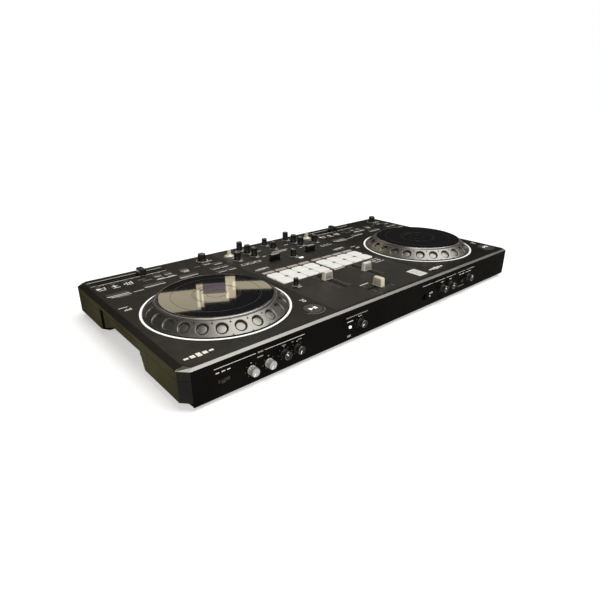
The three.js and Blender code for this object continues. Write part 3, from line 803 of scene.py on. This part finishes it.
# ---------------------------------------------------------------- fader caps and paddles
def fader_cap(node, skin, face, along_x):
    """A cap with hollowed finger faces on its two broad sides, coloured darker than the frame as painted
    shade.
    """
    wide, deep, _ = size(node)
    h = top_of(node)
    if along_x:
        wide, deep = deep, wide
    cap = Piece(node + "_body", (*centre(node), 0), skin)
    sections = [
        (wide, deep, 0.8), (wide, deep, 1.8), (wide * 0.97, deep * 0.93, 3.0),
        (wide * 0.9, deep * 0.86, h - 2.4), (wide * 0.88, deep * 0.85, h - 1.2),
        (wide * 0.86, deep * 0.78, h - 0.4), (wide * 0.8, deep * 0.6, h),
    ]
    cap.shell([rounded(w, d, 1.1, 4, z) for w, d, z in sections])
    # The broad faces take the darker face material: painted shade in the hollows.
    for side in (-1, 1):
        inset = deep * 0.43 * side
        low, high = wide * 0.41, wide * 0.36
        panel = []
        for push, grow in ((0.2, 0.0), (0.42, -0.4)):
            yy = inset + side * push
            panel.append([
                (-low - grow, yy + side * 0.3, 2.2 - grow), (low + grow, yy + side * 0.3, 2.2 - grow),
                (high + grow, yy, h - 2.0 + grow), (-high - grow, yy, h - 2.0 + grow),
            ])
        cap.shell(panel, face, smooth=False)
    cap.block(-wide * 0.39, wide * 0.39, -0.35, 0.35, h - 0.2, h, "pointer")
    turn = Euler((0, 0, math.pi / 2)) if along_x else None
    cap.block(-0.7, 0.7, -3, 3, -13.5, 1.0, "steel")
    cap.done(node, [node], bevel=0.18, turn=turn, angle=40)


def paddle(side):
    node = side + "_effect_paddle"
    top = top_of(node)
    piece = Piece(node + "_body", (*centre(node), 0), "knob")
    sections = [
        (20.2, 3.8, 0.9), (20.8, 5.4, 3.6), (20.6, 7.0, 6.4), (19.8, 7.8, top - 2.4), (19.5, 7.7, top - 1.2),
        (19.0, 7.2, top - 0.4), (18.0, 6.2, top),
    ]
    piece.shell([rounded(w, d, 1.4, 4, z) for w, d, z in sections])
    # Pale bars on the top: painted highlight.
    for i in range(5):
        yy = -2.4 + 1.2 * i
        piece.block(-8.6, 8.6, yy - 0.42, yy + 0.42, top - 0.15, top + 0.12, "paddle_highlight")
    piece.block(-6, 6, -1.6, 1.6, -7.4, 1.2, "steel")
    piece.done(node, [node], angle=40)


# ---------------------------------------------------------------- pads, keys and buttons
def pads():
    for side, _ in SIDES:
        for k in range(1, 9):
            node = f"{side}_pad_{k}"
            w, d, _ = size(node)
            top = top_of(node)
            pad = Piece(node + "_skin", (*centre(node), 0), "pad")
            sections = [
                (0.0, 5.8, -2.6), (0.0, 5.8, top - 0.4), (0.35, 5.6, top - 0.15), (1.0, 5.3, top - 0.04),
                (2.6, 4.5, top), (9.0, 1.5, top),
            ]
            pad.shell([rounded(w - cut, d - cut, r, 6, z) for cut, r, z in sections])
            pad.done(node, [node], angle=60)


def pad_posts():
    """Dark four-pointed posts that fill the space where four pads meet: the black of the plate between the
    pads, raised almost to the pad tops as painted shade for the hole there.
    """
    posts = Piece("pad_corner_black_and_shade_posts", (0, 0, 0), "gap")
    for side, _ in SIDES:
        places = [centre(f"{side}_pad_{k}") for k in range(1, 9)]
        across = sorted({round(x, 2) for x, _ in places})
        middle_y = sum(y for _, y in places) / 8
        top = top_of(side + "_pad_1") - 0.35
        for x0, x1 in zip(across, across[1:]):
            x = (x0 + x1) / 2
            outline = [
                (x + reach * math.cos(i * math.pi / 4), middle_y + reach * math.sin(i * math.pi / 4))
                for i, reach in enumerate((3.0, 1.9) * 4)
            ]
            posts.shell([[(px, py, z) for px, py in outline] for z in (0.02, top)], "gap", smooth=False)
    posts.done(CASE_BODY)


def key(piece, x, y, w, d, material, top=0.55, radius=0.8):
    rings = [
        [(x + px, y + py, z) for px, py, _ in rounded(w - cut, d - cut, max(radius - cut / 2, 0.15), 3)]
        for cut, z in ((0.0, 0.02), (0.0, top - 0.15), (0.25, top), (0.5, top))
    ]
    piece.shell(rings, material)


def play_button(side):
    node = side + "_play_button"
    top = top_of(node)
    button = Piece(node + "_body", (*centre(node), 0), "dark_key")
    button.turned([
        (13.6, -3), (13.8, -2.8), (13.8, top - 0.45), (13.5, top - 0.12), (12.9, top), (11.4, top - 0.05),
        (10.9, top - 0.3), (5.0, top - 0.3),
    ], 72)
    z0, z1 = top - 0.32, top - 0.12
    arrow = [(-6.2, -3.6), (0.2, 0.0), (-6.2, 3.6)]
    button.shell([[(px, py, z) for px, py in arrow] for z in (z0, z1)], "white_key", smooth=False)
    for px in (2.0, 4.8):
        button.block(px, px + 1.5, -3.4, 3.4, z0, z1, "white_key")
    button.done(node, [node], angle=50)


# ---------------------------------------------------------------- legends and small keys
def mark(piece, x, y, w, d, material="print"):
    """A printed dash centred at x, y."""
    piece.block(x - w / 2, x + w / 2, y - d / 2, y + d / 2, *INK, material)


def marks(piece, rows, material="print"):
    for row in rows:
        mark(piece, *row, material)


def frame_mark(piece, x, y, w, d, line=0.9, material="print"):
    mark(piece, x, y + d / 2, w, line, material)
    mark(piece, x, y - d / 2, w, line, material)
    mark(piece, x - w / 2, y, line, d, material)
    mark(piece, x + w / 2, y, line, d, material)


def arc_mark(piece, x, y, radius, line, start=0.0, sweep=360.0, material="print", steps=40):
    ring = []
    rows = ((radius - line / 2, INK[0]), (radius + line / 2, INK[0]),
            (radius + line / 2, INK[1]), (radius - line / 2, INK[1]))
    slot = piece.slot_of(material)
    for i in range(steps + 1):
        a = math.radians(start + sweep * i / steps)
        ring.append([piece.mesh.verts.new((x + r * math.cos(a), y + r * math.sin(a), z)) for r, z in rows])
    for low, high in zip(ring, ring[1:]):
        for i in range(4):
            j = (i + 1) % 4
            piece.mesh.faces.new((low[i], low[j], high[j], high[i])).material_index = slot
    if sweep < 360:
        for row in (ring[0], ring[-1]):
            piece.mesh.faces.new(row).material_index = slot


def dial_ticks(piece, x, y, radius, count=11, length=1.6, line=0.45, material="print_dim"):
    """Scale ticks round a knob, over its 300 degrees of travel."""
    for i in range(count):
        a = math.radians(-60 + 300 * i / (count - 1))
        ux, uy = math.cos(a), math.sin(a)
        corners = []
        for along, across in ((0, -1), (1, -1), (1, 1), (0, 1)):
            r = radius + along * length
            corners.append((x + ux * r - uy * across * line / 2, y + uy * r + ux * across * line / 2))
        piece.shell([[(px, py, z) for px, py in corners] for z in INK], material, smooth=False)


def icon(piece, x, y, kind, material="print", k=1.0):
    """Generic pictograms: bars, an arrow, a plus or a ring, k times the usual size."""
    if kind == "bars":
        for i, h in enumerate((3.0, 5.5, 4.2, 6.5)):
            mark(piece, x + k * (2.8 * i - 4.2), y + k * (h / 2 - 3), 1.5 * k, h * k, material)
    elif kind == "arrow":
        corners = [(x - 4 * k, y - 3 * k), (x + 3.5 * k, y), (x - 4 * k, y + 3 * k)]
        piece.shell([[(px, py, z) for px, py in corners] for z in INK], material, smooth=False)
        mark(piece, x + 4.6 * k, y, 1.2 * k, 6 * k, material)
    elif kind == "plus":
        mark(piece, x, y, 6.5 * k, 1.5 * k, material)
        mark(piece, x, y + 2.4 * k, 1.5 * k, 3.2 * k, material)
        mark(piece, x, y - 2.4 * k, 1.5 * k, 3.2 * k, material)
    else:
        arc_mark(piece, x, y, 2.4 * k, 1.4 * k, material=material, steps=20)


# x, y, width, depth of each small deck key, on the left deck.
LONG_KEYS = ((-321, 87, 33, 6.5), (-262, 90, 34, 6.5), (-202, 93, 33, 6.5))
LOOP_KEYS = ((-149, 125.7, 13, 7), (-132.5, 116, 15, 8), (-149, 95, 14, 8), (-132.5, 95, 14, 8),
             (-148.5, 76, 15, 8), (-129, 76, 15, 8))
ROUND_ICONS = ((-333, 122, "arrow"), (-312, 120, "plus"), (-291, 121, "bars"))
SMALL_KEYS = ((-242, 124, 13, 7), (-224, 124, 13, 7), (-242, 112, 13, 7), (-224, 112, 13, 7),
              (-195, 122, 15, 8))


def deck_legends(side, dx):
    ink = Piece(side + "_deck_print", (dx, 0, 0), "print")
    mark(ink, -280, 157.5, 124, 1.1)
    mark(ink, -280, 138.4, 124, 0.9)
    for i in range(9):
        mark(ink, -324 + 11.5 * i, 136.2, 0.7, 2.4 if i % 4 else 3.6)
    for x, y, kind in ROUND_ICONS:
        icon(ink, x, y, kind, k=1.4)
        mark(ink, x + 1, y - 7.5, 11, 1.6)
    for x, y, w, d in LONG_KEYS:
        mark(ink, x, y - d / 2 - 2.4, w, 1.8)
        mark(ink, x - w * 0.2, y - d / 2 - 5.8, w * 0.5, 1.0, "print_dim")
    for x, y, w, d in LOOP_KEYS:
        mark(ink, x, y - d / 2 - 1.2, w, 1.6)
        mark(ink, x - w / 2 - 0.9, y, 1.0, d, "print_dim")
    for x, y, w, d in SMALL_KEYS:
        mark(ink, x, y - d / 2 - 1.6, w * 0.9, 1.5)
    marks(ink, (
        (-141, 135.4, 20, 1.6), (-233, 104.5, 34, 1.6), (-318, 76, 30, 1.4), (-291, 78.5, 17, 1.2),
        (-334, 31, 13, 1.4), (-128, -107, 9, 1.3),
    ))
    marks(ink, (
        (-262, 113, 15, 1.4), (-268, 122, 12, 1.2), (-170, 120, 12, 1.4), (-316, 71.5, 20, 1.0),
    ), "print_dim")
    icon(ink, -195, 111.5, "bars")
    icon(ink, -331, 21, "bars")
    for i, high in enumerate((3.6, 6.0, 8.6, 6.0, 3.6)):
        mark(ink, -335 + 8 * i, -150.5, 5.8, high)
    arc_mark(ink, -128, -112.5, 2.6, 1.2, steps=20)
    encoder_x, encoder_y = centre(side + "_browse_encoder")
    arc_mark(ink, encoder_x - dx, encoder_y, 10.2, 0.8)
    arc_mark(ink, -137, -141, 16.6, 0.7, 200, 140, "print_dim")
    ink.done(CASE_BODY)

    keys = Piece(side + "_deck_keys", (dx, 0, 0), "dark_key")
    for x, y, w, d in LONG_KEYS + LOOP_KEYS + SMALL_KEYS:
        key(keys, x, y, w, d, "dark_key", 0.7)
    for x, y, kind in ROUND_ICONS:
        keys.turned([(4.6, 0.02), (4.6, 0.5), (4.2, 0.7), (2, 0.75)], 32, "dark_key", (x, y + 11))
    keys.done(CASE_BODY, angle=40)


CROSS_SCALE = 20.5  # how far the end marks of the crossfader's scale lie from its middle


def mixer_legends():
    ink = Piece("mixer_print", (0, 0, 0), "print")
    for node in [n for n in KNOB_NODES if n not in FRONT_HEADINGS]:
        x, y = centre(node)
        radius = size(node)[0] / 2
        dial_ticks(ink, x, y, radius + 2.2)
        arc_mark(ink, x, y, radius + 1.0, 0.6, 150, 240)
        mark(ink, x, y - radius - 5.2, 8, 1.5)
    for x0, x1, y in ((-107, -65, 77), (80, 108, 74)):
        for i in range(3):
            w = (x1 - x0) / 3 - 2.5
            x = x0 + (i + 0.5) * (x1 - x0) / 3
            frame_mark(ink, x, y, w, 6.5, 1.1)
    for x, y in ((-92, 39), (94, 40)):
        icon(ink, x - 8, y, "bars")
        icon(ink, x + 1, y, "ring")
        icon(ink, x + 9, y + 0.5, "arrow")
        mark(ink, x, y - 6.5, 24, 1.1, "print_dim")
    for x, y, w in ((-1, 103.5, 37), (-45, 93, 8), (1, 97.5, 22), (34, 126, 10), (-34, 126, 10), (45, 93, 8)):
        mark(ink, x, y, w, 1.6)
    marks(ink, ((12.5, -45, 25, 1.8), (95, -49, 22, 1.3), (95, -64.5, 24, 1.3), (-13, -123.5, 19, 1.8)))
    icon(ink, 88, -56.5, "bars")
    icon(ink, 101, -57, "ring")
    for y in (-131, -153):
        for share in (-1, -0.5, 0, 0.5, 1):
            line, long = {0: (1.2, 5.5), 0.5: (0.6, 3.4), 1: (0.8, 5.5)}[abs(share)]
            mark(ink, share * CROSS_SCALE, y, line, long, "print_dim")
    for side, sign in SIDES:
        x = sign * abs(centre(side + "_channel_fader_cap")[0])
        for i in range(11):
            y = -108 + 5.8 * i
            for dx in (-10, 10):
                mark(ink, x + dx, y, 5.5 if i % 5 == 0 else 3.4, 0.6, "print_dim")
    ink.done(CASE_BODY)

    keys = Piece("mixer_mode_keys", (0, 0, 0), "key")
    for side, _ in SIDES:
        for k in range(1, 5):
            x, _ = centre(f"{side}_pad_{k}")
            key(keys, x, 16.3, 22.6, 7.6, "key", 0.7)
    key(keys, 2, 43, 9, 5, "white_key", 0.9)
    for x, y in ((-101, 77), (-86.5, 77), (-72.5, 77), (85, 74), (94, 74), (103, 74)):
        key(keys, x, y, 6.5, 4.6, "dark_key", 0.6)
    keys.done(CASE_BODY, angle=40)

    label = Piece("price_label", (96.5, -143.9, 0), "label")
    label.shell([rounded(21.5, 29, 1.2, 4, z) for z in (0.03, 0.16)], smooth=False)
    for i, w in enumerate((13, 16, 11, 15, 9)):
        label.block(-w / 2, w / 2, 8 - 4 * i, 9.1 - 4 * i, 0.16, 0.2, "label_ink")
    label.done(CASE_BODY)


def front_legends():
    flat = Euler((math.pi / 2, 0, 0))
    ink = Piece("front_panel_print", (0, -HALF_DEPTH, 0), "print")
    for x0, x1 in ((-315, -258), (-245, -182), (72, 101), (104, 135), (139, 168), (175, 198), (203, 228)):
        mark(ink, (x0 + x1) / 2, -10.6, x1 - x0, 0.6)
    marks(ink, (
        (-303, -16.5, 4.5, 1.1), (-296, -16.5, 4.5, 1.1), (-311, -16.5, 4.5, 1.1), (-97, -19.5, 12, 1.1),
        (-77, -16.5, 8, 1.0), (128, -15.5, 7, 1.0), (152, -15.5, 7, 1.0), (183, -15.2, 5, 1.2),
        (192, -15.2, 7, 1.2), (204, -15.2, 6, 1.2), (214, -15.2, 8, 1.2),
    ))
    marks(ink, (
        (-251.5, -10.6, 8, 1.9), (-252, -17, 9, 1.6), (-216, -14.8, 6, 1.2), (-202, -14.8, 3, 1.2),
        (-190, -14.8, 6, 1.2), (-83, -13.2, 44, 1.2), (-98, -42, 7, 3.0), (190, -37.5, 20, 1.0),
    ), "print_dim")
    for x, z in ((95, -27.5), (100, -27.5), (95, -32.5)):
        arc_mark(ink, x, z, 1.3, 0.7, steps=16)
    for node in FRONT_HEADINGS:
        low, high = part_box(node)
        x, z = (low[0] + high[0]) / 2 / MM, ((low[2] + high[2]) / 2 - PLATE_Z) / MM
        dial_ticks(ink, x, z, 8.0, 7, 1.1, 0.45, "print_dim")
        mark(ink, x, z + 9.2, 1.0, 1.4)
    ink.done(CASE_BODY, turn=flat)

    fit = Piece("front_switches", (0, -HALF_DEPTH, 0), "gap")
    for x, w in ((-303, 20), (190, 14)):
        fit.shell([rounded_at(x, -28, w, 8, 1.2, z) for z in (0.02, 0.3)], "casing", smooth=False)
        # The near-black plate in each switch's slot is painted shade.
        fit.shell([rounded_at(x, -28, w - 4, 4.4, 0.6, z) for z in (0.3, 0.42)], "gap", smooth=False)
        fit.shell([rounded_at(x - w * 0.12, -28, 5.5, 3.8, 0.5, z) for z in (0.6, 3.0)], "knob", smooth=False)
    fit.shell([rounded_at(-97, -28, 4.6, 3.6, 1.1, z) for z in (0.02, 1.4)], "white_key")
    fit.done(CASE_BODY, turn=flat, bevel=0.2)

    jack = Piece("headphone_socket_ring", (79, -HALF_DEPTH, -30), "steel")
    jack.turned([(3.35, -13.5), (3.9, -13.5), (5.9, 0.3), (5.9, 1.0), (5.3, 1.2), (3.6, 1.2), (3.35, 0.9)],
                48, closed=True)
    jack.done(CASE_BODY, turn=flat, angle=40)


# ---------------------------------------------------------------- back and underside
RCA_XS = (120, 138, 190, 208, 260, 278)


def back_fittings():
    flat = Euler((-math.pi / 2, 0, 0))
    reach = (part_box("rear_panel")[1][1] - MID_Y) / MM - HALF_DEPTH
    sockets = Piece("rear_sockets", (0, HALF_DEPTH, 0), "steel")
    for x in RCA_XS:
        for z, ring in ((-20, "print"), (-34, "red")):
            collar = [(4.2, 0.02), (6.2, 0.02), (6.2, 0.7), (5.6, 1.1), (4.2, 1.1)]
            sockets.turned(collar, 32, ring, (x, -z), True)
            sockets.turned(
                [(4.12, 0.8), (4.35, 0.9), (4.35, reach - 0.5), (4.15, reach - 0.1), (2.9, reach - 0.1),
                 (2.9, reach - 2.6), (4.12, reach - 2.8)], 32, "steel", (x, -z), True)
            # The near-black centre stands in for the pin hole: painted shade.
            sockets.turned([(1.6, reach - 3.0), (1.6, reach - 0.35), (1.1, reach - 0.05)], 20, "gap", (x, -z))
    for x in (-60, -30):
        for px, py, w, d in ((x, 27.3, 13.4, 1.0), (x, 38.7, 13.4, 1.0), (x - 6.2, 33, 1.0, 12.4),
                             (x + 6.2, 33, 1.0, 12.4)):
            sockets.block(px - w / 2, px + w / 2, py - d / 2, py + d / 2, 0.02, 0.4, "steel")
        sockets.block(x - 2.8, x + 2.8, 31.4, 34.6, -13.6, -2.0, "print")
    sockets.turned([(1.0, -12.6), (1.0, -1.2), (0.7, -0.8)], 20, "steel", (-150, 34))
    for x, z in ((-330, -12), (-330, -40), (330, -12), (330, -40), (-100, -12), (60, -12), (60, -40),
                 (-200, -40)):
        screw_head(sockets, x, -z)
    sockets.done(CASE_BODY, turn=flat, angle=40)

    trim = Piece("rear_panel_print", (0, HALF_DEPTH, 0), "print")
    for a, b in zip(RCA_XS[::2], RCA_XS[1::2]):
        marks(trim, (((a + b) / 2, 9.6, 26, 0.9), ((a + b) / 2, 12.2, 9, 1.6)))
        mark(trim, (a + b) / 2, 43.5, 26, 0.7, "print_dim")
    marks(trim, ((-60, 22.5, 8, 1.6), (-30, 22.5, 8, 1.6), (-150, 22.5, 9, 1.6)))
    arc_mark(trim, -185, 33, 7.4, 0.7)
    trim.done(CASE_BODY, turn=flat)

    power = Piece("power_button", (-185, HALF_DEPTH, -33), "dark_key")
    power.turned([(5.6, 0.02), (5.6, 2.6), (5.2, 3.1), (4.4, 3.2), (1.0, 3.0)], 40)
    power.done(CASE_BODY, turn=flat, angle=40)


def screw_head(piece, x, y):
    """A pan-head screw with a cross slot drawn as near-black bars on its head: painted shade."""
    piece.turned([(2.7, 0.02), (2.7, 0.5), (2.3, 0.95), (1.2, 1.1)], 20, "steel", (x, y))
    piece.block(x - 1.5, x + 1.5, y - 0.25, y + 0.25, 1.0, 1.13, "gap")
    piece.block(x - 0.25, x + 0.25, y - 1.5, y + 1.5, 1.0, 1.14, "gap")


def underside():
    feet = Piece("rubber_feet", (0, 0, 0), "rubber")
    for x in (-296, 296):
        for y in (-138, 138):
            feet.turned([
                (9.0, FLOOR + 0.02), (12.2, FLOOR + 0.02), (13.3, FLOOR + 0.9), (13.6, FLOOR + 2.5),
                (13.6, UNDERSIDE - 0.6), (14.4, UNDERSIDE - 0.05),
            ], 48, None, (x, y))
    feet.done(CASE_BODY, angle=40)

    flip = Euler((math.pi, 0, 0))
    screws = Piece("underside_screws", (0, 0, UNDERSIDE), "steel")
    for x in (-318, -160, 0, 160, 318):
        for y in (-158, 158):
            screw_head(screws, x, y)
    for x in (-JOG_X, JOG_X):
        for k in range(4):
            a = math.radians(45 + 90 * k)
            screw_head(screws, x + 30 * math.cos(a), -JOG_Y + 30 * math.sin(a))
    screws.done(CASE_BODY, turn=flip, angle=40)

    # Vent slots drawn as thin near-black sheets: painted shade.
    vents = Piece("underside_vents", (0, 0, UNDERSIDE), "gap")
    for i in range(14):
        x = -52 + 8 * i
        vents.shell([rounded_at(x, 40, 3, 46, 1.4, z) for z in (0.01, 0.08)], smooth=False)
    vents.done(CASE_BODY, turn=flip)


# ---------------------------------------------------------------- build
camera()
stage()
lights()
case()
for side, x, _ in DECKS:
    jog_wheel(side, x)
    play_button(side)
knobs()
fader_cap("left_channel_fader_cap", "cap", "cap_face", False)
fader_cap("right_channel_fader_cap", "cap", "cap_face", False)
fader_cap("crossfader_cap", "cream", "cream_face", True)
for side, _ in SIDES:
    # The tempo caps' lighter face material is a painted highlight.
    fader_cap(side + "_tempo_fader_cap", "knob", "knob_highlight", True)
    paddle(side)
pads()
pad_posts()
for side, _, dx in DECKS:
    deck_legends(side, dx)
mixer_legends()
front_legends()
back_fittings()
underside()
